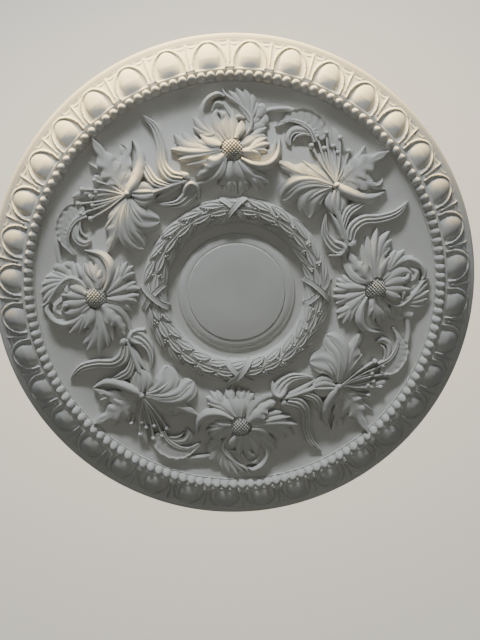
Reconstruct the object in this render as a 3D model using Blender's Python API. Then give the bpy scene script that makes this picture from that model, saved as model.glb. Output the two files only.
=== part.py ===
"""Ceiling rose: a round cast plaster ornament that is fixed to a ceiling, carved side down.

It has an egg-and-dart rim, a row of beads, a swelling field with four daisies and four lilies
on their stems, and a laurel wreath round a plain centre disc.

Frame: metres, +Z up. The flat back lies at z = 0 with its centre at the origin, and the carved
face looks down. Everything is shaped face up and the finished casting is turned over.
"""
import bpy
import bmesh
from math import atan2, cos, hypot, pi, radians, sin, sqrt
from mathutils import Matrix, Vector

MM = 0.001

# Rim: widths run from the edge inwards, heights rise from the ceiling
rose_radius = 256.5 * MM
edge_thickness = 5.0 * MM
outer_slope_width = 6.5 * MM
outer_slope_rise = 3.0 * MM
ovolo_foot_height = 10.0 * MM
ovolo_width = 30.5 * MM
ovolo_rise = 18.0 * MM
fillet_width = 2.0 * MM

# Egg and dart
egg_count = 36
egg_half_width = 11.0 * MM
egg_depth = 4.6 * MM
egg_end_margin = 2.2 * MM
husk_gap = 4.6 * MM
husk_relief = 1.7 * MM
dart_relief = 1.9 * MM
bud_relief = 2.6 * MM

# Bead row
bead_length = 9.2 * MM
bead_height = 3.4 * MM
bead_row_drop = 4.0 * MM
drop_run = 1.4 * MM

# Field: a swelling ring that carries the flowers, with a hollow outside it
hollow_radius = 187.0 * MM
hollow_height = 21.0 * MM
swell_radius = 123.0 * MM
swell_height = 33.0 * MM

# Laurel wreath
wreath_radius = 83.6 * MM
wreath_half_width = 12.8 * MM
wreath_crest_height = 38.5 * MM
wreath_foot_height = 30.0 * MM
leaf_count = 24
leaf_step = 1.3 * MM
ribbon_width = 5.0 * MM
ribbon_thickness = 1.6 * MM
ribbon_slant = 9.0

# Centre
recess_height = 27.5 * MM
plinth_radius = 60.6 * MM
plinth_rise = 1.3 * MM
disc_radius = 50.4 * MM
disc_height = 32.0 * MM
disc_step = 1.4 * MM

# Flowers and leaves: how they are set into the field
sector_count = 4
embed_depth = 2.6 * MM
tip_sink = 2.0 * MM
heart_radius = 11.6 * MM
heart_height = 12.5 * MM

# The flowers are drawn in millimetres on a field of these two radii, and stretched to fit
DRAWN_INNER = 96.4
DRAWN_OUTER = 206.9
DAISY = (0.0, 142.0)
LILY = (-105.0, 102.0)

# A petal: bearing and reach of its root, bearing and reach of its tip, bow to the left as a
# share of its length, half width and height, in degrees and millimetres
DAISY_PETALS = (
    (-90, 12, -73, 45, -0.01, 8.0, 7.5),
    (-99, 12, -95, 41, -0.03, 6.0, 7.0),
    (-78, 12, -50, 49, -0.04, 7.0, 7.0),
    (-48, 12, 12, 50, -0.37, 5.5, 8.5),
    (-15, 11, 19, 39, -0.22, 7.0, 9.0),
    (60, 12, 96, 58, -0.31, 5.5, 11.0),
    (55, 33, 70, 59, -0.06, 7.0, 8.5),
    (110, 12, 88, 37, 0.09, 6.0, 10.0),
    (138, 12, 98, 52, 0.44, 5.5, 11.0),
    (145, 13, 130, 51, 0.09, 6.0, 8.0),
    (166, 12, 147, 46, 0.32, 7.0, 9.5),
    (180, 12, 178, 61, 0.03, 6.0, 8.5),
    (207, 11, 214, 46, 0.04, 7.0, 9.0),
)
LILY_PETALS = (
    (117, 7, 122, 58, 0.07, 9.5, 6.5),
    (108, 6, 86, 48, 0.12, 6.5, 7.5),
    (72, 3, 83, 44, -0.13, 5.0, 11.5),
    (-51, 6, -35, 37, -0.28, 7.5, 10.0),
    (-79, 5, -77, 50, -0.18, 8.5, 9.0),
    (-104, 4, -105, 49, -0.17, 8.0, 8.5),
    (20, 7, 0, 29, 0.1, 5.5, 8.5),
)
# A stamen: bearing and reach of its anther
STAMENS = ((157, 36), (181, 55), (203, 47))
# A leaf or stem: the points that its spine passes through, half width and height
LEAVES = (
    (((-45, 116), (-62, 119), (-71, 131), (-74, 152), (-86, 176)), 5.6, 6.5),
    (((-62, 108), (-78, 115), (-86, 126), (-90, 138)), 3.8, 5.5),
    (((-40, 115), (-60, 109), (-79, 103)), 3.6, 7.5),
    (((-40, 114), (-42, 101), (-51, 91), (-75, 91)), 6.5, 5.5),
    (((-151, 86), (-165, 76), (-171, 62), (-163, 44)), 7.5, 6.0),
    (((-155, 82), (-155, 69), (-146, 62), (-144, 55)), 4.8, 5.5),
    (((-176, 68), (-181, 55), (-179, 38), (-172, 26)), 2.8, 5.5),
)

# Radii that follow from the sizes above
slope_inner = rose_radius - outer_slope_width
ovolo_inner = slope_inner - ovolo_width
bead_outer = ovolo_inner - fillet_width
bead_inner = bead_outer - bead_length
field_outer = bead_inner - drop_run
wreath_outer = wreath_radius + wreath_half_width
bead_seat_height = ovolo_foot_height + ovolo_rise
field_edge_height = bead_seat_height - bead_row_drop

COLUMNS_PER_EGG = 8
TURNED_SIDES = 2 * egg_count
LEAF_COLUMNS = TURNED_SIDES // leaf_count
HEART_SIDES = 8
SHARP_ANGLE = 35
FLAT_ANGLE = 1


def clear_scene():
    for obj in list(bpy.data.objects):
        bpy.data.objects.remove(obj, do_unlink=True)


def ease(a, b, share):
    """A value that leaves a and reaches b level, by half a cosine wave."""
    return a + (b - a) * (1 - cos(pi * min(max(share, 0), 1))) / 2


def field_height(radius):
    """Height of the field: from the wreath up to the swell, down to the hollow, up to the beads."""
    if radius < swell_radius:
        share = (radius - wreath_outer) / (swell_radius - wreath_outer)
        return ease(wreath_foot_height, swell_height, share)
    if radius < hollow_radius:
        share = (radius - swell_radius) / (hollow_radius - swell_radius)
        return ease(swell_height, hollow_height, share)
    share = (radius - hollow_radius) / (field_outer - hollow_radius)
    return ease(hollow_height, field_edge_height, share / 1.3)


def ovolo_height(radius):
    """Height of the rim's swelling profile between its foot and the bead row."""
    share = (slope_inner - radius) / ovolo_width
    return ovolo_foot_height + ovolo_rise * (share + 0.1 * sin(pi * share))


def wreath_height(share):
    """Height over the wreath at a share of its half width, outwards positive: half an ellipse."""
    foot = wreath_foot_height if share > 0 else recess_height
    return foot + (wreath_crest_height - foot) * sqrt(max(1 - share * share, 0))


class Turning:
    """Rings of points round the Z axis, each joined to the one before it."""

    def __init__(self):
        self.mesh = bmesh.new()
        self.last = None

    def centre(self, height):
        point = self.mesh.verts.new((0, 0, height))
        if self.last:
            for a, b in self.pairs(self.last):
                self.mesh.faces.new((point, a, b))
        self.last = [point]

    def ring(self, points):
        """Add a ring given as (radius, angle, height) and join it to the last one."""
        new = [self.mesh.verts.new((r * cos(t), r * sin(t), h)) for r, t, h in points]
        old = self.last
        if len(old) == 1:
            for a, b in self.pairs(new):
                self.mesh.faces.new((old[0], b, a))
        elif len(old) == len(new):
            for (a, b), (c, d) in zip(self.pairs(old), self.pairs(new)):
                self.mesh.faces.new((a, b, d, c))
        else:
            self.fan(old, new)
        self.last = new

    def fan(self, old, new):
        """Join a coarse ring to a fine one: each coarse side fans out to its fine points."""
        outwards = len(old) < len(new)
        coarse, fine = (old, new) if outwards else (new, old)
        ratio = len(fine) // len(coarse)
        for i, (a, b) in enumerate(self.pairs(coarse)):
            run = [fine[(i * ratio + k) % len(fine)] for k in range(ratio + 1)]
            middle = ratio // 2
            fans = [(a, run[k], run[k + 1]) for k in range(middle)]
            fans += [(b, run[k], run[k + 1]) for k in range(middle, ratio)]
            fans.append((a, run[middle], b))
            for corners in fans:
                self.mesh.faces.new(corners)

    @staticmethod
    def pairs(ring):
        return list(zip(ring, ring[1:] + ring[:1]))


def plain_ring(radius, height):
    step = 2 * pi / TURNED_SIDES
    return [(radius, i * step, height) for i in range(TURNED_SIDES)]


def egg_ring(radius):
    """One ring across the eggs: dart, hollow, husk, groove and egg, mirrored about each egg."""
    pitch = 2 * pi / egg_count
    egg_foot = ovolo_inner + egg_end_margin
    egg_tip = slope_inner - egg_end_margin
    share = (radius - egg_foot) / (egg_tip - egg_foot)
    fullness = sqrt(max(1 - max(share, 0) ** 2.4, 0))
    egg_angle = egg_half_width * fullness / radius
    husk_angle = egg_angle + husk_gap * (0.35 + 0.65 * fullness) / radius
    husk_angle = min(husk_angle, 0.44 * pitch)
    egg_angle = min(max(egg_angle, 0.08 * pitch), 0.85 * husk_angle)
    core = ovolo_height(radius)
    inside = 0 < share + 0.15 and share < 1.02
    dart = (bud_relief if share < 0.2 else dart_relief) if inside else 0
    husk = husk_relief if inside else 0
    egg = egg_depth * (0.25 + 0.75 * fullness) if inside else 0
    half = pitch / 2
    half_row = (
        (0, dart),
        ((half - husk_angle) / 2, 0),
        (half - husk_angle, husk),
        (half - egg_angle, 0),
        (half, egg),
    )
    row = list(half_row) + [(pitch - angle, rise) for angle, rise in half_row[3:0:-1]]
    return [
        (radius, i * pitch + angle, core + rise)
        for i in range(egg_count)
        for angle, rise in row
    ]


def bead_ring(radius, seat, rise):
    """One ring across the beads: every other point stands on a bead, the rest between two."""
    count = egg_count * COLUMNS_PER_EGG
    step = 2 * pi / count
    return [(radius, i * step, seat + (rise if i % 2 == 0 else 0)) for i in range(count)]


def wreath_ring(share, row):
    """One ring over the wreath, stepped up along each leaf towards its tip."""
    radius = wreath_radius + share * wreath_half_width
    edge = abs(share) > 0.9
    ring = []
    for i, (_, angle, _) in enumerate(plain_ring(radius, 0)):
        rise = 0 if edge else leaf_step * ((i + row) % LEAF_COLUMNS) / (LEAF_COLUMNS - 1)
        ring.append((radius, angle, wreath_height(share) - leaf_step / 2 + rise))
    return ring


def casting():
    """The whole turned body with its rim, beads and wreath, as one closed mesh."""
    body = Turning()
    body.centre(0)
    body.ring(plain_ring(rose_radius, 0))
    body.ring(plain_ring(rose_radius, edge_thickness))
    body.ring(plain_ring(slope_inner, edge_thickness + outer_slope_rise))
    egg_tip = slope_inner - egg_end_margin
    for radius in (
        slope_inner,
        egg_tip,
        egg_tip - 0.38 * ovolo_width,
        ovolo_inner + 0.6 * egg_end_margin,
    ):
        body.ring(egg_ring(radius))
    body.ring(bead_ring(bead_outer, bead_seat_height, 0))
    body.ring(bead_ring((bead_outer + bead_inner) / 2, bead_seat_height, bead_height))
    body.ring(bead_ring(bead_inner, bead_seat_height, 0))
    field = (field_outer, hollow_radius, 0.42 * hollow_radius + 0.58 * swell_radius, swell_radius)
    for radius in field:
        body.ring(plain_ring(radius, field_height(radius)))
    for row, share in enumerate((1.0, 0.6, 0.0, -0.6, -1.0)):
        body.ring(wreath_ring(share, row))
    plinth_top = recess_height + plinth_rise
    body.ring(plain_ring(plinth_radius, recess_height))
    body.ring(plain_ring(plinth_radius - plinth_rise, plinth_top))
    body.ring(plain_ring(disc_radius, disc_height - disc_step))
    body.ring(plain_ring(disc_radius - disc_step, disc_height))
    body.centre(disc_height)
    bmesh.ops.recalc_face_normals(body.mesh, faces=body.mesh.faces)
    return body.mesh


def on_field(x, y, quarter):
    """A drawn point, stretched across the real field and turned to its quarter."""
    share = (hypot(x, y) - DRAWN_INNER) / (DRAWN_OUTER - DRAWN_INNER)
    radius = wreath_outer + share * (field_outer - wreath_outer)
    angle = atan2(y, x) + quarter * 2 * pi / sector_count
    return Vector((radius * cos(angle), radius * sin(angle), field_height(radius)))


def shell(mesh, spine, stations, quarter):
    """A closed ridge on a drawn spine. Each station gives its place along the spine, its half
    width where it leaves the field and its height; the last one is the tip, sunk in the field."""
    rows = []
    for place, half_width, height in stations:
        here, ahead, behind = spine(place), spine(place + 0.02), spine(place - 0.02)
        along = (ahead - behind).normalized()
        foot = half_width * (1 + embed_depth / (height * MM)) if height else 0
        side = Vector((-along.y, along.x)) * foot
        if not half_width:
            rows.append([mesh.verts.new(on_field(*here, quarter) - Vector((0, 0, tip_sink)))])
            continue
        rows.append([
            mesh.verts.new(on_field(*(here + side), quarter) - Vector((0, 0, embed_depth))),
            mesh.verts.new(on_field(*here, quarter) + Vector((0, 0, height * MM))),
            mesh.verts.new(on_field(*(here - side), quarter) - Vector((0, 0, embed_depth))),
        ])
    for a, b in zip(rows, rows[1:]):
        for i in range(3):
            j = (i + 1) % 3
            corners = (a[i], a[j], b[j], b[i]) if len(b) == 3 else (a[i], a[j], b[0])
            mesh.faces.new(corners)
    mesh.faces.new(rows[0][::-1])


def bowed(flower, root_bearing, root_reach, tip_bearing, tip_reach, bow):
    """A spine from root to tip round a flower's centre, bulging to the left by the bow."""
    cx, cy = flower
    a, b = radians(root_bearing), radians(tip_bearing)
    start = Vector((cx + root_reach * cos(a), cy + root_reach * sin(a)))
    end = Vector((cx + tip_reach * cos(b), cy + tip_reach * sin(b)))
    chord = end - start
    left = Vector((-chord.y, chord.x))
    return lambda s: start + chord * s + left * (bow * 4 * s * (1 - s))


def through(points):
    """A smooth spine through the given points, by the Catmull-Rom rule."""
    ends = [Vector(p) for p in points]
    knots = [2 * ends[0] - ends[1], *ends, 2 * ends[-1] - ends[-2]]

    def spine(place):
        run = min(max(place, 0), 0.9999) * (len(points) - 1)
        i = int(run)
        t = run - i
        p, q, r, s = knots[i:i + 4]
        return (2 * q + (r - p) * t + (2 * p - 5 * q + 4 * r - s) * t ** 2
                + (3 * q - p - 3 * r + s) * t ** 3) / 2

    return spine


def add_flowers(mesh):
    """Every petal, stamen, leaf and stem of the four quarters, as closed shells that overlap."""
    for quarter in range(sector_count):
        for flower, petals in ((DAISY, DAISY_PETALS), (LILY, LILY_PETALS)):
            for root, root_reach, tip, tip_reach, bow, width, height in petals:
                spine = bowed(flower, root, root_reach, tip, tip_reach, bow)
                stations = [(0, 0.5 * width, 0.8 * height), (0.6, width, height), (1, 0, 0)]
                if abs(bow) > 0.2:
                    stations[1:2] = [(0.35, 0.9 * width, height), (0.75, width, height)]
                shell(mesh, spine, stations, quarter)
        for bearing, reach in STAMENS:
            spine = bowed(LILY, bearing, 6, bearing, reach, 0)
            shell(mesh, spine, ((0, 1.2, 7), (0.85, 2.4, 6.5), (1, 0, 0)), quarter)
        for points, width, height in LEAVES:
            stations = [(0, 0.6 * width, height), (0.35, width, height), (0.7, 0.9 * width, height)]
            shell(mesh, through(points), stations + [(1, 0, 0)], quarter)
        add_daisy_heart(mesh, quarter)


def add_daisy_heart(mesh, quarter):
    """The domed heart of a daisy: rings of eight that close over the top."""
    centre = on_field(*DAISY, quarter)
    rows = []
    for height, share in ((-embed_depth, 1.0), (0.7 * heart_height, 0.95)):
        radius = share * heart_radius
        angles = [2 * pi * i / HEART_SIDES for i in range(HEART_SIDES)]
        rows.append([
            mesh.verts.new(centre + Vector((radius * cos(t), radius * sin(t), height)))
            for t in angles
        ])
    low, high = rows
    top = mesh.verts.new(centre + Vector((0, 0, heart_height)))
    for i in range(HEART_SIDES):
        j = (i + 1) % HEART_SIDES
        mesh.faces.new((low[i], low[j], high[j], high[i]))
        mesh.faces.new((high[i], high[j], top))
    mesh.faces.new(low[::-1])


def add_ribbons(mesh):
    """The crossed bands that bind the wreath at each quarter. They lie aslant, so each spans
    1.4 times its own width along the circle."""
    shares = (0.97, 0.5, -0.5, -0.97)
    for quarter in range(sector_count):
        for slant in (1, -1):
            rows = []
            for share in shares:
                radius = wreath_radius + share * wreath_half_width
                angle = quarter * 2 * pi / sector_count - slant * radians(ribbon_slant) * share
                half = 1.4 * ribbon_width / 2 / radius
                top = wreath_height(share) + ribbon_thickness
                low = wreath_height(share) - embed_depth
                rows.append([
                    mesh.verts.new((radius * cos(t), radius * sin(t), h))
                    for t, h in (
                        (angle - half, low),
                        (angle - half, top),
                        (angle + half, top),
                        (angle + half, low),
                    )
                ])
            for a, b in zip(rows, rows[1:]):
                for i in range(4):
                    j = (i + 1) % 4
                    mesh.faces.new((a[i], a[j], b[j], b[i]))
            mesh.faces.new(rows[0][::-1])
            mesh.faces.new(rows[-1])


def relief():
    """All the carving that is set on the turned body, as one mesh of closed shells."""
    mesh = bmesh.new()
    add_flowers(mesh)
    add_ribbons(mesh)
    bmesh.ops.recalc_face_normals(mesh, faces=mesh.faces)
    return mesh


def as_object(name, mesh):
    data = bpy.data.meshes.new(name)
    mesh.to_mesh(data)
    mesh.free()
    data.shade_smooth()
    data.set_sharp_from_angle(angle=radians(SHARP_ANGLE))
    obj = bpy.data.objects.new(name, data)
    bpy.context.scene.collection.objects.link(obj)
    return obj


def carve_on(body, carving):
    """Unite a body with carving whose shells overlap it and each other, and clear the seams
    that this leaves across flat faces."""
    carving.hide_render = True
    carving.display_type = "WIRE"
    union = body.modifiers.new("carving", "BOOLEAN")
    union.operation = "UNION"
    union.solver = "EXACT"
    union.use_self = True
    union.object = carving
    flats = body.modifiers.new("one face on each flat", "DECIMATE")
    flats.decimate_type = "DISSOLVE"
    flats.angle_limit = radians(FLAT_ANGLE)


def plaster():
    material = bpy.data.materials.new("cast plaster")
    material.use_nodes = True
    shader = material.node_tree.nodes["Principled BSDF"]
    shader.inputs["Base Color"].default_value = (0.80, 0.78, 0.73, 1.0)
    shader.inputs["Roughness"].default_value = 0.85
    shader.inputs["Metallic"].default_value = 0.0
    return material


def main():
    clear_scene()
    turned_over = Matrix.Rotation(pi, 4, "X")
    rose = as_object("ceiling_rose", casting())
    carving = as_object("flowers_leaves_and_ribbons", relief())
    for obj in (rose, carving):
        obj.data.transform(turned_over)
    carve_on(rose, carving)
    rose.data.materials.append(plaster())


main()
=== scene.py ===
from math import cos, radians, sin

import bpy
import numpy as np
from mathutils import Matrix, Vector


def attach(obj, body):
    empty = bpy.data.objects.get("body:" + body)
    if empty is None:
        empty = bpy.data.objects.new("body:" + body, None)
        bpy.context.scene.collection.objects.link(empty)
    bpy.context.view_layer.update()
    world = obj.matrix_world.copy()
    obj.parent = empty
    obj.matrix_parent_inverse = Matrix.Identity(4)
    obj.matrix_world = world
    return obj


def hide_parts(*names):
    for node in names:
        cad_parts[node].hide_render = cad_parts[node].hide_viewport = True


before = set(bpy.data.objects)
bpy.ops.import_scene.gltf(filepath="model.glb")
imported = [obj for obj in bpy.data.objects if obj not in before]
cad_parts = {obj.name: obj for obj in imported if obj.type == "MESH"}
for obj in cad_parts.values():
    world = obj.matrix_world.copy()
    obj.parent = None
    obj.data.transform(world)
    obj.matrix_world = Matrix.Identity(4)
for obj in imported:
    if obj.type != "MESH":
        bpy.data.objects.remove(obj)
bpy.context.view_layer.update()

MM = 0.001
QUARTERS = 4

# Radii and heights in millimetres, heights rising from the ceiling
ROSE_R, SLOPE_R, FILLET_R, BEAD_OUT, BEAD_IN, FIELD_R = 256.5, 250.0, 219.5, 217.5, 208.3, 206.9
HOLLOW_R, SWELL_R, WREATH_OUT, WREATH_R, WREATH_IN = 187.0, 123.0, 96.4, 83.6, 70.8
EDGE_H, SLOPE_H, OVOLO_FOOT, OVOLO_TOP, BEAD_SEAT = 5.0, 8.0, 10.0, 28.0, 28.0
FIELD_EDGE, HOLLOW_H, SWELL_H, WREATH_FOOT, RECESS_H = 23.4, 21.0, 33.0, 30.0, 27.5
WREATH_CREST, PLATE_H = 36.9, 1.0
DISC_H = 32.0

# Petals and leaves: how deep the foot is sunk in the ground, and the least half width of a tip
FOOT_DEPTH, TIP_HALF = 2.5, 0.35

# The rim's eggs and their husks: how many, and the half widths and lengths of their ellipses
EGGS, EGG_R, EGG_HALF_WIDTH, EGG_HALF_LENGTH, EGG_RISE = 36, 230.0, 11.0, 16.6, 5.0
HUSK_R, HUSK_HALF_WIDTH, HUSK_HALF_LENGTH, HUSK_RISE = 226.5, 15.9, 21.3, 1.9
BEADS, BEAD_MID, BEAD_HALF, BEAD_RISE = 144, 212.9, 4.5, 5.2

# The middle of the daisy's heart, with the heart's radius and height
DAISY, HEART_R, HEART_H = (0.0, 142.0), 11.8, 10.7


def ease(a, b, share):
    """A blend from a to b: half a cosine wave over the share from 0 to 1."""
    return a + (b - a) * (1 - np.cos(np.pi * np.clip(share, 0, 1))) / 2


def field_height(r):
    """Height of the field at a radius: it rises from the wreath to the swell, falls to the
    hollow by half a cosine wave each, and rises to the bead row as the square of the distance."""
    inner = ease(WREATH_FOOT, SWELL_H, (r - WREATH_OUT) / (SWELL_R - WREATH_OUT))
    middle = ease(SWELL_H, HOLLOW_H, (r - SWELL_R) / (HOLLOW_R - SWELL_R))
    outer = HOLLOW_H + (FIELD_EDGE - HOLLOW_H) * np.clip((r - HOLLOW_R) / (FIELD_R - HOLLOW_R), 0, 2) ** 2
    return np.where(r < SWELL_R, inner, np.where(r < HOLLOW_R, middle, outer))


def wreath_height(r):
    """Height of the wreath's core at a radius: half an ellipse over its width."""
    share = (r - WREATH_R) / (WREATH_OUT - WREATH_R)
    foot = np.where(share > 0, WREATH_FOOT, RECESS_H)
    return foot + (WREATH_CREST - foot) * np.sqrt(np.clip(1 - share ** 2, 0, 1))


class Pieces:
    """Gathers the points and faces of many closed surfaces into one mesh."""

    def __init__(self):
        self.points, self.quads, self.caps, self.count = [], [], [], 0

    def add(self, points, quads, caps=()):
        """Adds a surface: its points, the quads between them and the rings of points that cap it."""
        self.points.append(points)
        self.quads.append(quads + self.count)
        self.caps.extend(cap + self.count for cap in caps)
        self.count += len(points)

    def repeated(self, times):
        """The same pieces turned to each quarter of the rose."""
        points, quads, caps = np.concatenate(self.points), np.concatenate(self.quads), self.caps
        self.__init__()
        for k in range(times):
            a = 2 * np.pi * k / times
            turn = np.array(((cos(a), sin(a), 0), (-sin(a), cos(a), 0), (0, 0, 1)))
            self.add(points @ turn, quads, caps)
        return self

    def mesh(self, name, material, sharp=50):
        """One object from all the pieces, turned carving down and scaled to metres. Edges where the
        faces meet at more than the sharp angle stay hard."""
        points = np.concatenate(self.points) * np.array((1, -1, -1)) * MM
        quads = np.concatenate(self.quads)
        corners = np.concatenate((quads.ravel(), *self.caps))
        sizes = np.array([4] * len(quads) + [len(cap) for cap in self.caps])
        data = bpy.data.meshes.new(name)
        data.vertices.add(len(points))
        data.vertices.foreach_set("co", points.astype(np.float32).ravel())
        data.loops.add(len(corners))
        data.loops.foreach_set("vertex_index", corners.astype(np.int32))
        data.polygons.add(len(sizes))
        data.polygons.foreach_set("loop_start", (np.cumsum(sizes) - sizes).astype(np.int32))
        data.update(calc_edges=True)
        data.validate()
        data.shade_smooth()
        data.set_sharp_from_angle(angle=radians(sharp))
        obj = bpy.data.objects.new(name, data)
        bpy.context.scene.collection.objects.link(obj)
        data.materials.append(material)
        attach(obj, "root")


def tube(rows, columns, wrap_rows):
    """Quads of a grid that closes round its columns, and round its rows too if asked."""
    i, j = np.meshgrid(np.arange(rows if wrap_rows else rows - 1), np.arange(columns), indexing="ij")
    up, on = (i + 1) % rows, (j + 1) % columns
    corners = (i * columns + j, i * columns + on, up * columns + on, up * columns + j)
    return np.stack(corners, axis=-1).reshape(-1, 4)


def turned_ring(pieces, radii, columns, height):
    """A closed ring: the height is a function of radius and angle over the whole face, and a flat
    back, sunk in the back plate, joins its outer edge to its inner one."""
    angles = np.linspace(0, 2 * np.pi, columns, endpoint=False)
    r, a = np.meshgrid(radii, angles, indexing="ij")
    h = height(r, a)
    r = np.concatenate((r, r[-1:], r[:1]))
    a = np.concatenate((a, a[-1:], a[:1]))
    h = np.concatenate((h, 0 * h[:1] + PLATE_H, 0 * h[:1] + PLATE_H))
    points = np.stack((r * np.cos(a), r * np.sin(a), h), axis=-1).reshape(-1, 3)
    pieces.add(points, tube(len(r), columns, True)[:, ::-1])


def turned_disc(pieces, profile, columns):
    """A closed turned solid from (radius, height) pairs running outwards: the first ring is a
    small face that closes the top, and the last one lies at the ceiling's plane."""
    angles = np.linspace(0, 2 * np.pi, columns, endpoint=False)
    r = np.array([p[0] for p in profile])[:, None]
    h = np.array([p[1] for p in profile])[:, None] + 0 * angles
    points = np.stack((r * np.cos(angles), r * np.sin(angles), h), axis=-1).reshape(-1, 3)
    last = (len(profile) - 1) * columns + np.arange(columns)
    pieces.add(points, tube(len(profile), columns, False)[:, ::-1], (np.arange(columns), last[::-1]))


def smooth(values, s):
    """Values at evenly spaced stations, read at the shares s by the Catmull-Rom rule."""
    knots = np.array(values, float)
    if len(knots) == 1:
        knots = np.concatenate((knots, knots))
    first, last = 2 * knots[:1] - knots[1:2], 2 * knots[-1:] - knots[-2:-1]
    knots = np.concatenate((first, knots, last))
    run = np.clip(s, 0, 1) * (len(knots) - 3)
    i = np.minimum(run.astype(int), len(knots) - 4)
    t = run - i
    if knots.ndim == 2:
        t = t[:, None]
    p, q, u, v = knots[i], knots[i + 1], knots[i + 2], knots[i + 3]
    return (2 * q + (u - p) * t + (2 * p - 5 * q + 4 * u - v) * t ** 2
            + (3 * q - p - 3 * u + v) * t ** 3) / 2


def leaf(pieces, spine, width, height, crown=1.5, tilt=0.0, veins=0, vein=0.6, rim=0.0,
         lobes=0, lobe=0.0, ribs=0, rib=0.5, blunt=0.0, lip=1.6, under=0.3, base=field_height,
         along=26, across=13):
    """A closed petal, leaf or stem. Its spine runs through the given points; the half width and
    the height above the ground follow their stations. Across the blade, the surface is the
    height, plus a crown that falls off as the square of the distance from the spine, a tilt that
    rises evenly from right to left, veins as a cosine wave and a rim that swells at each edge.
    Lobes scallop the edge by half sine waves, and ribs cross the blade as a cosine wave along it
    that leans forward towards the edges. A blunt end closes its last share by a quarter ellipse.
    Below the edge, a lip drops straight and the wall draws in under the blade to a foot in the
    ground, whose height at a radius is the base."""
    s = np.linspace(0, 1, along)
    middle = smooth(spine, s)
    step = np.gradient(middle, axis=0)
    step /= np.linalg.norm(step, axis=1)[:, None]
    side = np.stack((-step[:, 1], step[:, 0]), axis=1)
    half = np.maximum(smooth(width, s), TIP_HALF)
    if lobes:
        scallop = 1 - lobe * (1 - np.abs(np.sin(np.pi * lobes * s))) * np.clip(s * 3 - 0.6, 0, 1)
        half = half * scallop
    if blunt:
        half = half * np.sqrt(np.clip(1 - (np.clip(s - 1 + blunt, 0, 1) / blunt) ** 2, 0.002, 1))
    h = smooth(height, s)
    if np.ndim(tilt):
        tilt = smooth(tilt, s)
    t = np.linspace(-1, 1, across)
    lean = (np.ones(along) * tilt)[:, None] * t[None, :]
    slim = np.clip(half / (0.5 * half.max()), 0, 1)[:, None]
    wave = -np.cos(np.pi * (veins * (t + 1))) if veins else 0 * t
    swell = np.exp(-((1 - np.abs(t)) / 0.16) ** 2)
    cross = rib * np.cos(2 * np.pi * (ribs * s[:, None] - 0.5 * np.abs(t))) * np.abs(t) if ribs else 0
    blade = h[:, None] + lean - crown * slim * t ** 2 + slim * (vein * wave + rim * swell + cross)
    reach = half[:, None] * t
    left, right = blade[:, -1:], blade[:, :1]
    inset = half[:, None] * (1 - under)
    foot = 0 * left - FOOT_DEPTH
    edge = half[:, None] * 0.98
    blade = np.concatenate((blade, left - lip, foot, foot, right - lip), axis=1)
    reach = np.concatenate((reach, edge, inset, -inset, -edge), axis=1)
    x = middle[:, :1] + side[:, :1] * reach
    y = middle[:, 1:] + side[:, 1:] * reach
    ground = base(np.hypot(x, y))
    points = np.stack((x, y, ground + np.maximum(blade, -FOOT_DEPTH)), axis=-1).reshape(-1, 3)
    columns = across + 4
    caps = (np.arange(columns), (along - 1) * columns + np.arange(columns)[::-1])
    pieces.add(points, tube(along, columns, False)[:, ::-1], caps)


def midrib(pieces, spine, height, gap=0.9, width=0.6, **looks):
    """Two thin ribs side by side along a spine, each set off it by the gap."""
    points = smooth(spine, np.linspace(0, 1, 9))
    step = np.gradient(points, axis=0)
    step /= np.linalg.norm(step, axis=1)[:, None]
    side = np.stack((-step[:, 1], step[:, 0]), axis=1)
    for way in (gap, -gap):
        leaf(pieces, points + side * way * np.linspace(1, 0.4, 9)[:, None], (width, width, 0.4), height,
             crown=0.8, under=0.0, lip=0.6, along=18, across=7, **looks)


def dome(pieces, x, y, radius, low, high, rings=8, columns=16, bumps=0.0, pitch=2.4, ground=None):
    """A rounded dome from a foot in the ground to a small flat top: a quarter ellipse turned round
    its axis, with seeds on it as the product of two cosine waves that cross on the slant."""
    turn = np.linspace(0, np.pi / 2, rings)[:, None]
    angles = np.linspace(0, 2 * np.pi, columns, endpoint=False)
    r = radius * np.cos(turn * 0.985) + 0 * angles
    h = low + (high - low) * np.sin(turn) + 0 * angles
    px, py = r * np.cos(angles), r * np.sin(angles)
    if bumps:
        # The rows of seeds run at 45 degrees to the axes
        u, v = (px + py) * 0.7071, (px - py) * 0.7071
        seed = np.abs(np.cos(np.pi * u / pitch) * np.cos(np.pi * v / pitch)) - 0.5
        h = h + bumps * seed * np.sin(turn) ** 0.5
    px = np.concatenate((px[:1], px))
    py = np.concatenate((py[:1], py))
    h = np.concatenate((0 * h[:1] + low - 3, h))
    z = (field_height(np.hypot(x, y)) if ground is None else ground) + h
    points = np.stack((px + x, py + y, z), axis=-1).reshape(-1, 3)
    count = len(h)
    caps = (np.arange(columns)[::-1], (count - 1) * columns + np.arange(columns))
    pieces.add(points, tube(count, columns, False), caps)


def polar(radius, degrees):
    """The point at a radius and angle from the rose's centre."""
    return radius * cos(radians(degrees)), radius * sin(radians(degrees))


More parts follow.
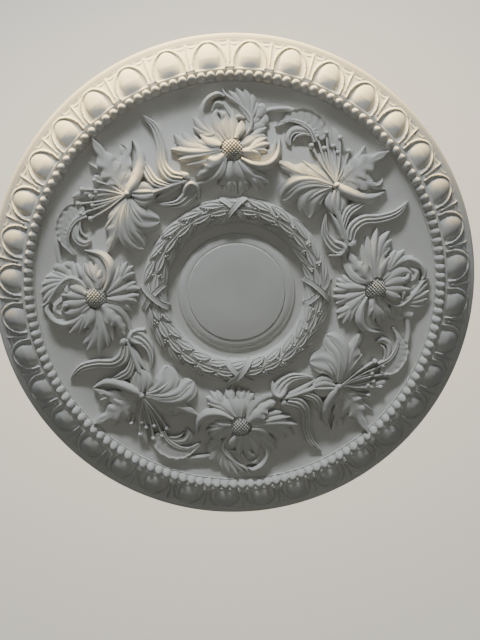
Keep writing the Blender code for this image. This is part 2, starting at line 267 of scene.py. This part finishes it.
def rim_height(r, a):
    """Height of the egg-and-dart rim at a radius and angle. The ovolo is a straight slope with a
    half sine wave on it. In each egg's sector, an ellipse holds the egg as half an ellipsoid, and a
    wider ellipse carries a thin husk rib. Midway between two eggs stands the dart: a thin rib with a
    three-cornered bud at its foot and a small arc at each side of its head. Outside the ovolo lies
    the flat band of the edge, and inside it the fillet."""
    pitch = 2 * np.pi / EGGS
    u = ((a / pitch) % 1 - 0.5) * pitch * r
    share = np.clip((SLOPE_R - r) / (SLOPE_R - FILLET_R), 0, 1)
    core = OVOLO_FOOT + (OVOLO_TOP - OVOLO_FOOT) * (share + 0.1 * np.sin(np.pi * share))
    egg = np.clip(1 - (u / EGG_HALF_WIDTH) ** 2 - ((r - EGG_R) / EGG_HALF_LENGTH) ** 2, 0, 1)
    husk_size = np.hypot(u / HUSK_HALF_WIDTH, (r - HUSK_R) / HUSK_HALF_LENGTH)
    off_husk = (husk_size - 1) * 16.5  # about the millimetres from the rib's line
    inside = np.clip(-off_husk / 1.5, 0, 1)
    rib = np.exp(-(off_husk / 0.95) ** 2)
    spandrel = np.clip(off_husk / 1.5, 0, 1)
    dart_u = pitch * r / 2 - np.abs(u)
    dart = np.exp(-(dart_u / 0.9) ** 2) * np.clip((r - 224) / 3, 0, 1) * np.clip((248.5 - r) / 2, 0, 1)
    bud_half = np.clip((229 - r) * 0.55, 0, 4.2)
    bud = np.clip((bud_half - dart_u) / 1.6, 0, 1)
    arc = np.exp(-((np.hypot(dart_u - 5.8, r - 250.3) - 5.8) / 0.7) ** 2)
    full = 0.2 + 0.8 * np.sqrt(np.clip((r - FILLET_R) / 11, 0, 1))
    carved = core - 1.5 * inside - 1.6 * spandrel + EGG_RISE * full * np.sqrt(egg) + HUSK_RISE * rib
    carved = carved + spandrel * (2.0 * dart + 2.2 * bud + 0.9 * arc)
    near = np.clip((r - FILLET_R) / 0.8, 0, 1) * np.clip((SLOPE_R - 0.3 - r) / 2.6, 0, 1)
    ovolo = core + (carved - core) * near
    band = EDGE_H + (SLOPE_H - EDGE_H) * np.clip((ROSE_R - r) / 5.0, 0, 1) ** 0.6
    fillet = BEAD_SEAT + 0.3 * np.clip((r - BEAD_OUT) / 0.5, 0, 1)
    line = np.where(r > SLOPE_R + 0.01, band, ovolo)
    return np.where(r < FILLET_R - 0.3, fillet, line)


def bead_height(r, a):
    """Height of the bead row at a radius and angle: each bead is half an ellipsoid on a seat that
    falls evenly towards the field, where a small lip ends it."""
    pitch = 2 * np.pi / BEADS
    u = (((a / pitch) + 0.5) % 1 - 0.5) * pitch * r
    bead = np.clip(1 - (u / BEAD_HALF) ** 2 - ((r - BEAD_MID) / BEAD_HALF) ** 2, 0, 1)
    step = np.clip((r - FIELD_R) / 0.5, 0, 1)
    lip = 0.5 * np.exp(-((r - FIELD_R - 0.5) / 0.35) ** 2)
    seat = BEAD_SEAT - 0.3 - 3.2 * np.clip((BEAD_OUT - r) / (BEAD_OUT - BEAD_IN), 0, 1)
    return FIELD_EDGE + (seat - FIELD_EDGE) * step + lip + BEAD_RISE * np.sqrt(bead)


def build_rim(material):
    """The egg-and-dart rim, and the bead row inside it."""
    rim = Pieces()
    edge = (ROSE_R, ROSE_R - 0.5, ROSE_R - 2, ROSE_R - 4, ROSE_R - 5.8, SLOPE_R + 0.02)
    ovolo = np.linspace(SLOPE_R, FILLET_R, 50)
    inner = (FILLET_R - 0.35, BEAD_OUT + 0.6, BEAD_OUT, BEAD_OUT - 0.3)
    radii = np.concatenate((edge, ovolo, inner))[::-1]
    turned_ring(rim, radii, EGGS * 40, rim_height)
    rim.mesh("rim", material)
    beads = Pieces()
    ledge = FIELD_R + np.array((-0.6, 0, 0.25, 0.5, 0.85))
    radii = np.concatenate((ledge, np.linspace(BEAD_IN - 0.2, BEAD_OUT, 17)))
    turned_ring(beads, radii, BEADS * 11, bead_height)
    beads.mesh("bead_row", material)


def build_ground(material):
    """The turned ground of the rose: centre disc, plinth, recess, wreath core and field, with a
    thin back plate that reaches to the rim's edge."""
    ground = Pieces()
    disc = [(0.5, DISC_H), (25, DISC_H), (48.9, DISC_H), (49.5, 31.9), (49.9, 31.2), (50.2, 30.7)]
    plinth = [(50.9, 30.7), (51.4, 31.0), (53, 31.0), (55, 30.7), (57, 30.1), (58.7, 29.3), (59.2, 29.4),
              (59.9, 29.1)]
    recess = [(60.5, 27.7), (61.2, 27.3), (65.5, 27.2), (69.5, 27.4)]
    radii = np.linspace(WREATH_IN + 0.02, WREATH_OUT - 0.02, 22)
    wreath = list(zip(radii, wreath_height(radii)))
    radii = np.linspace(WREATH_OUT + 0.3, FIELD_R + 0.5, 60)
    field = list(zip(radii, field_height(radii)))
    plate_top = PLATE_H + 0.5
    plate = [(FIELD_R + 0.5, plate_top), (ROSE_R - 0.3, plate_top), (ROSE_R, PLATE_H), (ROSE_R, 0)]
    turned_disc(ground, disc + plinth + recess + wreath + field + plate, 288)
    ground.mesh("ground", material, 20)


def build_wreath(material):
    """The laurel wreath: three rows of leaves with a midrib each, berries in threes between them,
    and two ribbons that cross in each quarter."""
    wreath = Pieces()

    # Each row's radius, its lean outwards along a leaf, its leaves' angles, half length and widths
    middle_angles = (-38.5, -23.5, -9.5, 10, 24.3, 38.9)
    side_angles = [15 * k - 31 for k in range(6)]
    broad, slim = (0.8, 3.0, 3.8, 3.0, 0.4), (1.0, 2.8, 3.3, 2.4, 0.4)
    rows = ((WREATH_R, 0, middle_angles, 7.2, broad), (91.8, 4.5, side_angles, 7.6, slim),
            (75.6, -4.0, side_angles, 7.6, slim))
    blade = dict(base=wreath_height, along=18, across=15, under=0.1, lip=0.8, crown=-0.5, rim=0.9)
    rib = dict(base=wreath_height, along=10, across=5, under=0.0, lip=0.4, crown=0.4)
    for radius, lean, angles, reach, width in rows:
        for mid in angles:
            spine = (polar(radius - lean * 0.5, mid - reach), polar(radius, mid),
                     polar(radius + lean * 0.6, mid + reach))
            leaf(wreath, spine, width, (0.3, 0.9, 1.2, 1.4, 1.2), **blade)
            leaf(wreath, spine, (0.7, 0.8, 0.7, 0.4), (1.2, 2.2, 2.4, 2.2), **rib)

    sprigs = ((79, -31), (79, -15.5), (79.4, 14.5), (79, 28.7), (88.3, -31.5), (88.2, -16), (88.2, 17),
              (88, 31.5), (79.2, 44), (88.2, 46))
    for radius, angle in sprigs:
        for dr, da in ((0, 0), (1.6, 1.5), (-1.5, 1.7)):
            x, y = polar(radius + dr, angle + da)
            dome(wreath, x, y, 1.5, 0.2, 2.6, 6, 10, ground=wreath_height(np.hypot(x, y)))

    # Each ribbon runs inwards over the wreath from its first angle to its second
    ribbon = dict(base=wreath_height, along=22, across=11, under=0.0, lip=1.0, crown=0.1, rim=0.7)
    for start, end, lift in ((8.2, -11.5, 2.6), (-7.2, 10.2, 3.9)):
        points = [polar(WREATH_OUT + 0.8 - 26.6 * q, start + (end - start) * q)
                  for q in (0, 0.25, 0.5, 0.75, 1)]
        heights = (lift - 1.2, lift, lift + 0.2, lift, lift - 1.2)
        leaf(wreath, points, (2.6,), heights, **ribbon)
    wreath.repeated(QUARTERS).mesh("wreath", material)


def build_daisies(material):
    """The four daisies, drawn as the top one. Each petal gives its spine, half widths, heights and
    the way it lies, and a petal that lies over another follows it."""
    daisy = Pieces()

    def petal(spine, width, height, **looks):
        leaf(daisy, spine, width, height, **looks)

    def fingers(root, tips, high, half=3.2):
        """Narrow lobes that fan out from a root to their tips, each bent a little to one side."""
        for n, (x, y) in enumerate(tips):
            mid = (0.5 * (root[0] + x) + 0.06 * (root[1] - y), 0.5 * (root[1] + y) - 0.06 * (root[0] - x))
            heights = (high, high - 0.4 * (n % 2), high - 2.4)
            petal((root, mid, (x, y)), (0.7 * half, half, 1.08 * half, 0.6 * half), heights, crown=2.0,
                  blunt=0.4, along=15, across=9, lip=2.0)

    # Towards the wreath: broad petals that end in fingers
    low = dict(veins=1, vein=0.6, crown=2.0, under=0.15, lip=2.0)
    petal(((-3, 131), (-7, 119), (-10, 109)), (2, 5, 5.5, 3), (6, 6, 4), **low)
    petal(((-1, 131), (-2.5, 118), (-1, 106)), (2.5, 6, 6.5, 4), (7.5, 7.5, 5), **low)
    petal(((3, 131), (7, 118), (11, 106)), (2.5, 5.5, 6, 4), (7, 7, 4.5), **low)
    petal(((5, 131), (15, 120), (26, 111)), (2.5, 6.5, 7, 4), (7.5, 7.5, 5), **low)
    fingers((-6, 117), ((-15, 108), (-10.5, 103)), 5.5)
    fingers((-2, 115), ((-5.5, 102), (1, 99.5)), 6.8)
    fingers((7, 115), ((7.5, 98.5), (14.5, 102)), 6.2)
    fingers((17, 117), ((24, 102.5), (31, 103.5), (35.5, 109), (33, 115)), 6.8, 3.4)
    petal(((6, 131), (19, 121), (34, 115.5)), (2, 3.8, 4.2, 0.4), (7, 7, 4.5), tilt=1.0, **low)

    # Below on the left: a long petal, and a ribbed one over it
    petal(((-8, 135), (-15, 121), (-27, 113), (-40, 111)), (3, 5.5, 5, 3.5, 0.5), (7.5, 6.5, 4, 2.5),
          tilt=2, crown=1.0, veins=1)
    petal(((-9, 138), (-17, 129), (-25, 121), (-38, 116)), (4, 8.5, 9, 6.5, 0.6), (8.5, 9, 7, 4),
          tilt=(2, -2, -2.5, -1), crown=1.2, lobes=4, lobe=0.35, ribs=4, rib=0.5, veins=1,
          along=36, across=17)

    # To the left: a broad petal that parts into five long lobes
    petal(((-12, 142), (-27, 140.5), (-42, 141.5)), (4, 9, 12.5, 9), (6, 5.5, 4.5), crown=1.6, blunt=0.3)
    petal(((-11, 138), (-28, 132), (-45, 128.5)), (2.5, 3.6, 4.0, 2.4), (6.5, 6.5, 5), crown=2.0, blunt=0.3)
    petal(((-11, 141), (-33, 137), (-53, 134)), (3, 4.4, 4.8, 4.2, 2.2), (7.5, 8, 6), crown=2.0, veins=1,
          blunt=0.25)
    petal(((-12, 142), (-36, 141), (-61, 144.5)), (3, 4.8, 5.4, 4.6, 2.0), (8, 8.5, 6.5), crown=2.2, veins=1,
          blunt=0.22)
    petal(((-14, 144), (-42, 146), (-57.5, 158)), (3, 4.4, 4.8, 3.8, 2.0), (8, 7.5, 5), tilt=-0.8,
          crown=1.8, blunt=0.22)
    petal(((-14, 145), (-38, 149), (-49, 161)), (3, 4.4, 4.8, 3.8, 1.8), (8, 7, 5), crown=1.4, blunt=0.25)

    # Above on the left: a ribbed petal, a narrow one and a broad one that ends in fingers
    petal(((-12, 145), (-25, 145.5), (-35, 150), (-40, 159)), (3, 5.5, 6.2, 5, 1.2), (8.5, 8.5, 7, 4.8),
          crown=0.9, rim=0.4, veins=2, vein=0.4, lobes=3, lobe=0.3, ribs=3, rib=0.4)
    petal(((-11, 147), (-21, 150.5), (-31, 157.5)), (2.5, 4.5, 4, 1.2), (9.5, 10, 8), crown=1.6, tilt=1)
    petal(((-10, 149), (-19, 158), (-27, 168)), (3, 7.5, 8, 5), (8.5, 8, 6), veins=2, vein=0.6, crown=1.4)
    fingers((-18, 157), ((-33, 158.5), (-38, 165), (-37.5, 174.5), (-31, 184.5)), 8.8, 3.6)

    # To the right: a low petal with two fingers, a crescent, and a broad petal over its root
    petal(((8, 145), (18, 150), (28, 157)), (3, 6, 6, 3), (7.5, 7.5, 5), crown=1.4, veins=1)
    fingers((17, 151), ((33, 155), (35, 162.5)), 7, 3.2)
    petal(((10, 140), (24, 134), (37, 138), (44, 150)), (3, 4.5, 4.5, 0.5), (6, 5.5, 5, 3), crown=1.2)
    petal(((8, 133), (20, 126.5), (34, 126), (44, 134.5), (48, 152)), (2, 3.6, 4.4, 3.4, 0.5),
          (8.5, 9.5, 9, 7, 4.5), tilt=(1, 1.5, 1.5, 0.5), crown=1.0, veins=1, vein=0.6)
    petal(((10, 140), (20, 140), (28, 145)), (3.5, 6, 6.4, 4), (8.5, 8.5, 7), tilt=0.5, crown=2.0,
          veins=1)
    fingers((17, 141), ((28, 135), (34.5, 140), (37, 147), (35, 153)), 9.2, 3.4)

    # Towards the rim: two hollow petals between two rolled edges, and the crest on the right one
    roll = dict(crown=2.6, under=0.15, lip=2.2)
    face = dict(crown=-1.4, rim=0.5, veins=3, vein=0.35, across=19)
    petal(((2, 151), (-8, 164), (-16, 176), (-16, 190)), (4, 9, 12, 12, 8), (5, 5, 4.5, 5), **face)
    petal(((4, 152), (10, 166), (7, 178), (-5, 191)), (4, 8, 9, 8, 5), (5, 5, 5, 5.5), **face)
    petal(((-16, 158), (-24, 168), (-28, 179), (-23, 190), (-13, 195.5), (-6, 193.5)),
          (1.2, 2, 2.8, 3, 2.6, 1.2), (6, 7.5, 9, 9.5, 9, 7), **roll)
    petal(((10, 152), (18, 161), (20, 170), (15, 179), (4, 188.5), (-4, 194), (-8, 201)),
          (1.4, 2.0, 2.4, 2.2, 2.0, 2.0, 0.5), (6, 8, 9, 9, 8.5, 8, 5), **roll)
    crest_root = (18, 169)
    crest = (((-2, 198.5), 6.5), ((5.5, 201), 6), ((14, 199.5), 5.5), ((21.5, 195), 5), ((26.5, 187.5), 4.5))
    for tip, high in crest:
        middle = (0.42 * 19 + 0.58 * tip[0] + 1, 0.42 * 171 + 0.58 * tip[1])
        petal((crest_root, middle, tip), (2.2, 3.8, 4.0, 2.4), (7.5, high + 2, high), crown=3.0, blunt=0.25)

    # Two short lobes where the stem comes in, and the curl under the left roll's end
    petal(((19, 166), (26, 172), (34, 175.5)), (2, 4.4, 4.2, 1.0), (6, 5.5, 3.5), crown=1.6)
    petal(((18, 162), (27, 165), (37, 167)), (2, 4.4, 4.2, 1.0), (6, 5.5, 3.5), crown=1.6)
    petal(((-19, 180), (-14, 187), (-7, 185.5)), (1.5, 2.6, 1.5), (6, 8, 8), crown=1.8)

    # Inside the rolls: four upright petals, two of them with a curled tip
    petal(((-6, 152), (-13, 164), (-16, 174), (-13, 181)), (2.5, 5.0, 5.2, 3.0, 1.5), (8.5, 9.5, 9, 7.5),
          crown=1.7)
    petal(((-8, 170), (-8, 176), (-13, 179)), (2, 3, 1.5), (9.5, 10.5, 9), crown=1.6)
    petal(((-3, 153), (-6, 166), (-5, 178)), (2.5, 5.2, 5.2, 3.5, 0.8), (9.5, 10.5, 9.5), crown=1.7)
    petal(((1, 153), (2, 165), (3, 179.5)), (2.5, 4.6, 5.0, 3.4, 0.8), (9.5, 10.5, 9.5), crown=1.8)
    petal(((4, 153), (8.5, 161), (11, 169)), (2.5, 4.4, 4.6, 1.5), (10.5, 11, 10), crown=1.7)
    petal(((3, 171), (7, 173.5), (13, 172)), (1.5, 2.4, 1.2), (9, 10, 8.5), crown=1.4)

    daisy.repeated(QUARTERS).mesh("daisies", material)

    heart = Pieces()
    dome(heart, *DAISY, HEART_R, 2.0, HEART_H, 48, 180, bumps=3.4, pitch=2.5)
    heart.repeated(QUARTERS).mesh("daisy_hearts", material)


def build_lilies(material):
    """The four lilies, drawn as the one at the top left. The flower opens to the left, from the
    calyx where its stem comes in from the right."""
    lily = Pieces()

    def petal(spine, width, height, **looks):
        leaf(lily, spine, width, height, **looks)

    # Upwards: the low petals behind, then two lobed ones and the rolled edge
    petal(((-106, 101), (-120, 93), (-137, 86.5)), (2.5, 5, 6, 4, 0.5), (5, 4, 2.5), veins=1, crown=1.5)
    petal(((-108, 105), (-124, 116), (-139, 121)), (2.5, 5, 5, 1.0), (5, 4.5, 3), veins=1, crown=1.4)
    petal(((-107, 106), (-122, 119), (-143, 134)), (2.5, 6, 6.5, 3.5, 0.6), (5.5, 5, 3.5), veins=1,
          crown=1.6, lobes=2, lobe=0.2)
    petal(((-106, 105), (-115, 119), (-125, 134), (-137, 157)), (2.5, 8.5, 12.5, 12, 6.5, 0.5),
          (7.5, 9.5, 9.5, 6), lobes=5, lobe=0.3, ribs=5, rib=0.8, veins=1, vein=-0.7, crown=3.2,
          along=52, across=19, under=0.15, lip=2.4)
    midrib(lily, ((-109, 106), (-118, 117), (-126, 131), (-135, 150)), (8.2, 9.2, 9.0, 6.4))
    petal(((-106, 105), (-109, 119), (-106, 136), (-99, 155)), (3, 8, 9.5, 8, 4, 0.6), (6, 8, 7.5, 4.5),
          lobes=4, lobe=0.3, ribs=4, rib=0.6, crown=1.4, along=36, across=17)
    petal(((-106, 139), (-107, 146), (-111, 151)), (1.5, 3.0, 2.6, 0.4), (5.5, 6, 4.5), crown=-0.4, rim=0.8)
    petal(((-104, 103), (-99, 111), (-94, 121), (-91, 132), (-92, 143), (-98, 155)),
          (4.2, 5.2, 5.6, 5.2, 4.0, 0.5), (10.5, 12, 11, 9, 7, 3.5), crown=3.2, under=0.15, lip=2.2,
          tilt=(0, 0, 1, 1, 0), lobes=6, lobe=0.14, along=48)

    # Downwards: two low petals, a lobed one, and two broad ones
    petal(((-106, 99), (-117, 84), (-129.5, 69.5)), (2.5, 5, 5, 3, 0.6), (7, 8, 5.5), veins=1, crown=1.2)
    petal(((-103, 98), (-97, 82), (-86, 66)), (2.5, 6, 7, 5, 2), (6, 6.5, 5, 3.5), crown=1.5, blunt=0.3)
    petal(((-105, 98), (-114, 81), (-119, 63), (-131, 43)), (2.5, 7.5, 11, 10.5, 6, 0.6), (8, 8.5, 7, 3.5),
          lobes=4, lobe=0.3, ribs=4, rib=0.6, crown=2.2, along=40, across=19)
    midrib(lily, ((-106.5, 95), (-114, 79), (-119, 63), (-128, 46)), (8.6, 8.8, 7.4, 4.6))
    petal(((-102, 98), (-99, 86), (-90, 76), (-74, 75)), (2.5, 6, 10, 12.5, 11.5), (6.5, 8.5, 8, 5.5),
          veins=2, vein=0.6, crown=1.6, rim=1.0, blunt=0.32, along=40, across=21, under=0.15, lip=2.2)
    petal(((-102.5, 96), (-98, 84), (-90, 73.5), (-77, 70.5)), (1.2, 1.5, 1.5, 0.5), (8.5, 9.5, 7.5, 5),
          crown=1.0, under=0.1)
    petal(((-104, 98), (-108, 79), (-105, 62), (-92, 48)), (2.5, 6.5, 9, 11, 11.5), (8.5, 9.5, 8, 4),
          veins=2, vein=0.7, crown=2.0, rim=1.0, blunt=0.2, along=44, across=21, under=0.15, lip=2.2)
    midrib(lily, ((-105.5, 95), (-108.5, 79), (-105.5, 64), (-96, 51)), (9.0, 9.8, 8.4, 5.2))

    # The calyx: four long lobes that close round the stem's end
    petal(((-100, 106), (-89, 109.5), (-76, 104)), (2, 4, 4, 1.5), (8, 7.5, 6), crown=1.5)
    petal(((-99, 104), (-88, 104), (-76, 103.5)), (1.5, 2.2, 2.2, 1.5), (10, 9, 7), crown=1.4)
    petal(((-100, 101), (-88, 99), (-76, 102)), (1.5, 3.2, 3.2, 1.5), (9, 8.5, 7), crown=1.2)
    petal(((-98, 97), (-88, 94), (-77, 99.5)), (1.5, 3.8, 3.4, 1.5), (7.5, 7, 6), crown=1.4)

    # The throat: a low veined petal under the stamens, a knob, and each stamen with its anther
    petal(((-104, 102), (-120, 99), (-141, 96)), (2.5, 7, 12, 14.5, 9), (6.5, 5.5, 2.5), crown=1.2,
          across=25, veins=5, vein=0.5, blunt=0.2)
    dome(lily, -104.5, 102.5, 4.2, 4.0, 11.5, 8, 20)
    anthers = ((-138, 116.5), (-137, 105), (-151, 108), (-143, 101), (-156, 94), (-141, 92),
               (-153, 84.5), (-144, 79))
    for n, (x, y) in enumerate(anthers):
        bend = 1.5 if y > 98 else -1.5  # away from the middle of the bunch
        mid = ((x - 105) / 2, (y + 102) / 2 + bend)
        petal(((-107, 101.5), mid, (x, y)), (1.1, 0.9, 1.2), (9.5, 7.6 + 0.4 * (n % 3), 6.4), crown=0.6,
              along=14, across=7, under=0.0)
        dome(lily, x, y, 2.9, 3.0, 8.6, 8, 14)
    petal(((-140, 105.5), (-152, 104), (-162, 101)), (1.5, 3.6, 3.2, 0.4), (6, 6, 4.5), crown=1.2)
    lily.repeated(QUARTERS).mesh("lilies", material)


def build_leaves(material):
    """The leaves and stems between the flowers: the long blades and the collar lie between the top
    daisy and the lily on its left, and the feather and comma leaves beyond that lily."""
    leaves = Pieces()

    def blade(spine, width, height, **looks):
        leaf(leaves, spine, width, height, **looks)

    # The long blade, the shorter one below it, and the stem
    blade(((-50, 116), (-62, 119), (-69.5, 130), (-70.5, 148), (-75.5, 166), (-87, 178)),
          (5, 6.2, 5.4, 4.8, 4.2, 0.5), (6.5, 7.5, 7, 6.5, 6, 3.5), veins=3, vein=1.1, crown=1.4, rim=0.6,
          along=44, across=25)
    blade(((-60, 107.5), (-77, 113.5), (-85, 125), (-90, 138)), (2.5, 4.8, 4.6, 0.5), (6.5, 7.5, 6.5, 3.5),
          veins=3, vein=0.9, crown=1.2, rim=0.5, along=32, across=25)
    blade(((-45, 113.5), (-60, 109), (-79, 103)), (2.0, 2.6, 2.8), (6.5, 7.5, 8), crown=1.2,
          veins=1, vein=0.4)

    # The collar that folds over the stem, and the leaf that hangs from it
    blade(((-50, 96), (-47, 106), (-42, 110.5), (-36, 106.5), (-35, 95)), (1.6, 2.4, 2.6, 2.4, 1.6),
          (5, 8, 9, 7.5, 4.5), crown=1.4, veins=1, vein=0.4)
    blade(((-42, 96), (-41.5, 104), (-41, 108)), (3.5, 4, 2.5), (4.5, 5.5, 6.5), crown=-0.8)
    blade(((-52, 110), (-66, 103.5), (-79, 95)), (2.5, 3, 0.5), (6.5, 6.5, 5), crown=1.6)
    blade(((-41, 111), (-43.5, 101), (-53, 92.5), (-64, 90.5), (-77, 92)), (6.5, 7.5, 6, 4.2, 2.6, 0.5),
          (6, 6, 6, 5.5, 3.5), veins=3, vein=1.0, crown=1.2, rim=0.6, along=36, across=25)
    blade(((-44, 115.5), (-47, 119), (-51.5, 122)), (2.2, 3.2, 2.2, 0.6), (7.5, 8, 5.5), crown=1.0)

    # The feather leaf with its midrib
    blade(((-150, 90), (-163, 86), (-172.5, 72), (-173, 59), (-164, 43.5)), (2, 7, 8, 6.5, 4, 0.5),
          (6, 6.5, 6.5, 6, 4.5), lobes=8, lobe=0.18, crown=0.2, ribs=10, rib=0.35, along=72, rim=1.1,
          across=23, under=0.1, lip=2.4)
    midrib(leaves, ((-148, 83), (-159, 78), (-166.5, 68), (-169, 56), (-163, 43.5)), (7.5, 8, 7.5, 6.5, 3.5),
           gap=1.4, width=1.1)

    # The comma leaf inside its curve, with a thin rib
    blade(((-156, 79), (-160, 70), (-159.5, 60.5), (-152.5, 55.5), (-145, 57.5)),
          (1.6, 3.4, 3.8, 3.6, 3.0, 0.8), (5.5, 6.5, 6, 5, 3.5), crown=0.5, rim=0.8, veins=1, vein=0.5,
          along=36, across=17)
    blade(((-154, 80), (-155.5, 72), (-154, 65), (-149.5, 61)), (0.9, 1.1, 1.1, 0.5), (6.5, 7, 6, 4),
          crown=0.8)

    # The stem to the next daisy, and the two lobes at its end
    blade(((-175, 69), (-180, 57), (-180, 42), (-177.5, 32), (-171, 25)), (1.6, 2.4, 2.4, 2.2, 2.0),
          (4.5, 5.5, 5.5, 5.5, 5), crown=1.4, along=34)
    blade(((-172, 22), (-176, 28), (-182, 31), (-183, 25)), (2.5, 4.5, 4, 1.5), (5, 6.5, 6.5, 5), crown=1.4)
    blade(((-166, 27), (-170, 33), (-176, 33)), (2.5, 4, 2), (4.5, 5.5, 5), crown=1.4)
    leaves.repeated(QUARTERS).mesh("leaves", material)


def grain_group():
    """Fine tooth of a plaster cast: two noises of different size, one soft tone and one height."""
    group = bpy.data.node_groups.new("plaster grain", "ShaderNodeTree")
    face = group.interface
    face.new_socket("Scale", in_out="INPUT", socket_type="NodeSocketFloat").default_value = 900.0
    face.new_socket("Tone", in_out="OUTPUT", socket_type="NodeSocketFloat")
    face.new_socket("Height", in_out="OUTPUT", socket_type="NodeSocketFloat")
    nodes, links = group.nodes, group.links
    put = nodes.new("NodeGroupOutput")
    get = nodes.new("NodeGroupInput")
    place = nodes.new("ShaderNodeTexCoord")
    fine, broad = nodes.new("ShaderNodeTexNoise"), nodes.new("ShaderNodeTexNoise")
    fine.inputs["Detail"].default_value = 3.0
    broad.inputs["Scale"].default_value = 14.0
    broad.inputs["Detail"].default_value = 4.0
    links.new(get.outputs["Scale"], fine.inputs["Scale"])
    for noise in (fine, broad):
        links.new(place.outputs["Object"], noise.inputs["Vector"])
    links.new(broad.outputs["Fac"], put.inputs["Tone"])
    links.new(fine.outputs["Fac"], put.inputs["Height"])
    return group


def plaster(name, dark, light, bump):
    """Cast plaster: matt, with a soft change between two tones and a fine tooth."""
    material = bpy.data.materials.new(name)
    material.use_nodes = True
    nodes, links = material.node_tree.nodes, material.node_tree.links
    shader = nodes["Principled BSDF"]
    shader.inputs["Roughness"].default_value = 0.85
    shader.inputs["Specular IOR Level"].default_value = 0.25
    grain = nodes.new("ShaderNodeGroup")
    grain.node_tree = grain_group()
    tone = nodes.new("ShaderNodeValToRGB")
    for stop, place, colour in zip(tone.color_ramp.elements, (0.3, 0.7), (dark, light)):
        stop.position = place
        stop.color = (*colour, 1)
    links.new(grain.outputs["Tone"], tone.inputs["Fac"])
    links.new(tone.outputs["Color"], shader.inputs["Base Color"])
    relief = nodes.new("ShaderNodeBump")
    relief.inputs["Strength"].default_value = bump
    relief.inputs["Distance"].default_value = 0.6 * MM
    links.new(grain.outputs["Height"], relief.inputs["Height"])
    links.new(relief.outputs["Normal"], shader.inputs["Normal"])
    return material


def plain(name, colour, glow):
    """A matt paint of one colour, with a glow of the same colour that stands in for room light."""
    material = bpy.data.materials.new(name)
    material.use_nodes = True
    shader = material.node_tree.nodes["Principled BSDF"]
    shader.inputs["Base Color"].default_value = (*colour, 1)
    shader.inputs["Roughness"].default_value = 0.9
    shader.inputs["Specular IOR Level"].default_value = 0.1
    shader.inputs["Emission Color"].default_value = (*colour, 1)
    shader.inputs["Emission Strength"].default_value = glow
    return material


def sheet(name, size, height, material):
    """A flat square sheet, facing down when it is above the rose and up when it is below."""
    half = size / 2
    corners = [(-half, -half, height), (half, -half, height), (half, half, height), (-half, half, height)]
    data = bpy.data.meshes.new(name)
    data.from_pydata(corners, [], [(0, 1, 2, 3) if height < 0 else (3, 2, 1, 0)])
    data.materials.append(material)
    obj = bpy.data.objects.new(name, data)
    bpy.context.scene.collection.objects.link(obj)


def area_light(name, place, target, size, power, colour):
    """A rectangular light at a place, aimed at a target: metres and watts."""
    data = bpy.data.lights.new(name, "AREA")
    data.shape = "RECTANGLE"
    data.size, data.size_y = size
    data.energy = power
    data.color = colour
    obj = bpy.data.objects.new(name, data)
    obj.location = place
    obj.rotation_euler = (Vector(target) - Vector(place)).to_track_quat("-Z", "Y").to_euler()
    bpy.context.scene.collection.objects.link(obj)


# The camera in the carving frame: place in millimetres, tilts and the rose's turn in degrees.
# The focal length is in pixels of the photograph, whose height stands for the sensor's 24 mm.
CAMERA_PLACE = (-16.5, 96.96, 694.99)
CAMERA_TILT = (10.732, 1.712)
CAMERA_FOCUS_PX, PHOTO_HEIGHT_PX, SENSOR_HEIGHT = 652.51, 640, 24.0
ROSE_TURN = 2.01


def build_camera():
    """The photograph's camera. Its place and tilts hold for a rose turned by a small angle, so
    they are turned back by it and then taken from the carving frame, face up, to face down."""
    rx, ry = (radians(v) for v in CAMERA_TILT)
    to_camera = Matrix.Rotation(ry, 3, "Y") @ Matrix.Rotation(rx, 3, "X")
    turn_back = Matrix.Rotation(-radians(ROSE_TURN), 3, "Z")
    face_down = Matrix.Rotation(radians(180), 3, "X")
    axes = face_down @ turn_back @ to_camera.transposed()
    place = face_down @ turn_back @ Vector(CAMERA_PLACE) * MM
    data = bpy.data.cameras.new("camera")
    data.sensor_fit = "VERTICAL"
    data.sensor_height = SENSOR_HEIGHT
    data.lens = SENSOR_HEIGHT * CAMERA_FOCUS_PX / PHOTO_HEIGHT_PX
    data.clip_start, data.clip_end = 0.01, 50.0
    data.dof.use_dof = False
    obj = bpy.data.objects.new("camera", data)
    obj.matrix_world = Matrix.Translation(place) @ axes.to_4x4()
    bpy.context.scene.collection.objects.link(obj)
    bpy.context.scene.camera = obj


def build_light():
    """A cool soft light that rakes across the face from the top of the picture, a warm one just
    above the rim's top edge, and a dim blue surround. The picture's up is the row's -Y, and the
    carved face looks to -Z."""
    area_light("key", place=(-0.22, -1.52, -0.53), target=(0, 0, -0.03), size=(0.5, 0.14), power=25,
               colour=(0.88, 0.95, 1.0))
    area_light("warm", place=(-0.12, -0.95, 0.03), target=(0, -0.2, -0.02), size=(0.7, 0.08), power=58,
               colour=(1.0, 0.72, 0.26))
    world = bpy.data.worlds.new("surround")
    world.use_nodes = True
    background = world.node_tree.nodes["Background"]
    background.inputs["Color"].default_value = (0.35, 0.60, 1.0, 1)
    background.inputs["Strength"].default_value = 0.055
    bpy.context.scene.world = world


cast = plaster("cast plaster", dark=(0.60, 0.585, 0.55), light=(0.67, 0.655, 0.62), bump=0.25)
build_rim(cast)
build_ground(cast)
build_wreath(cast)
build_daisies(cast)
build_lilies(cast)
build_leaves(cast)
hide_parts("ceiling_rose")
pale_backdrop = plain("pale backdrop", (0.80, 0.81, 0.82), glow=0.55)
pale_floor = plain("pale floor", (0.52, 0.58, 0.66), glow=0.02)
sheet("backdrop", size=4.0, height=1.3, material=pale_backdrop)
sheet("floor", size=24.0, height=-2.4, material=pale_floor)
build_camera()
build_light()
